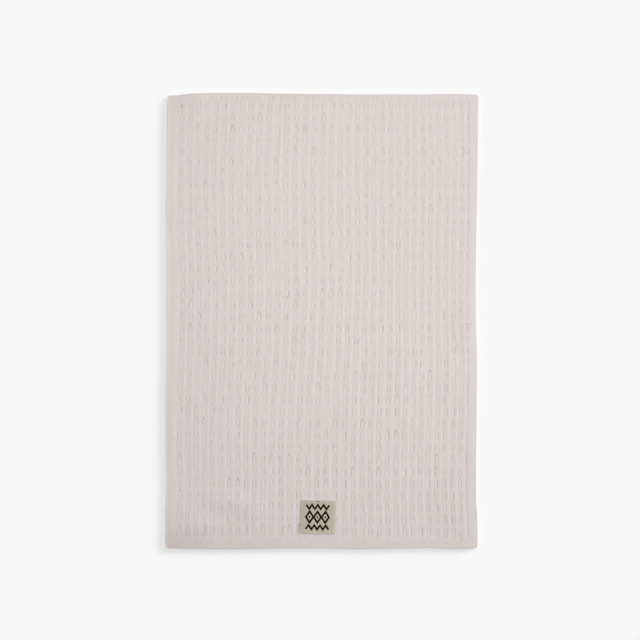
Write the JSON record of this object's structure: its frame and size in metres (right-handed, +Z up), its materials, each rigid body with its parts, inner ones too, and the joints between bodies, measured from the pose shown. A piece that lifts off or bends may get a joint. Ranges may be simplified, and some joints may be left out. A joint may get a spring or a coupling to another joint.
{
  "type": "dish towel",
  "caption": "Flat rectangular waffle-weave cotton dish towel with turned hems on all sides and a small square canvas label sewn on near one end.",
  "frame": {"origin": "middle of the towel's bounding box, on the surface that it lies on", "axes": "+Y along the towel's length, away from the label end; +Z up, out of the face that carries the label; +X across the towel, to the right when the label end is nearest"},
  "size_m": [0.4485, 0.6545, 0.0039],
  "materials": {
    "waffle_cotton": "undyed pale pinkish grey cotton in a waffle weave, matt",
    "khaki_canvas": "khaki plain-weave canvas, matt"
  },
  "bodies": {
    "root": {"towel": "waffle_cotton", "label": "khaki_canvas"}
  },
  "joints": []
}
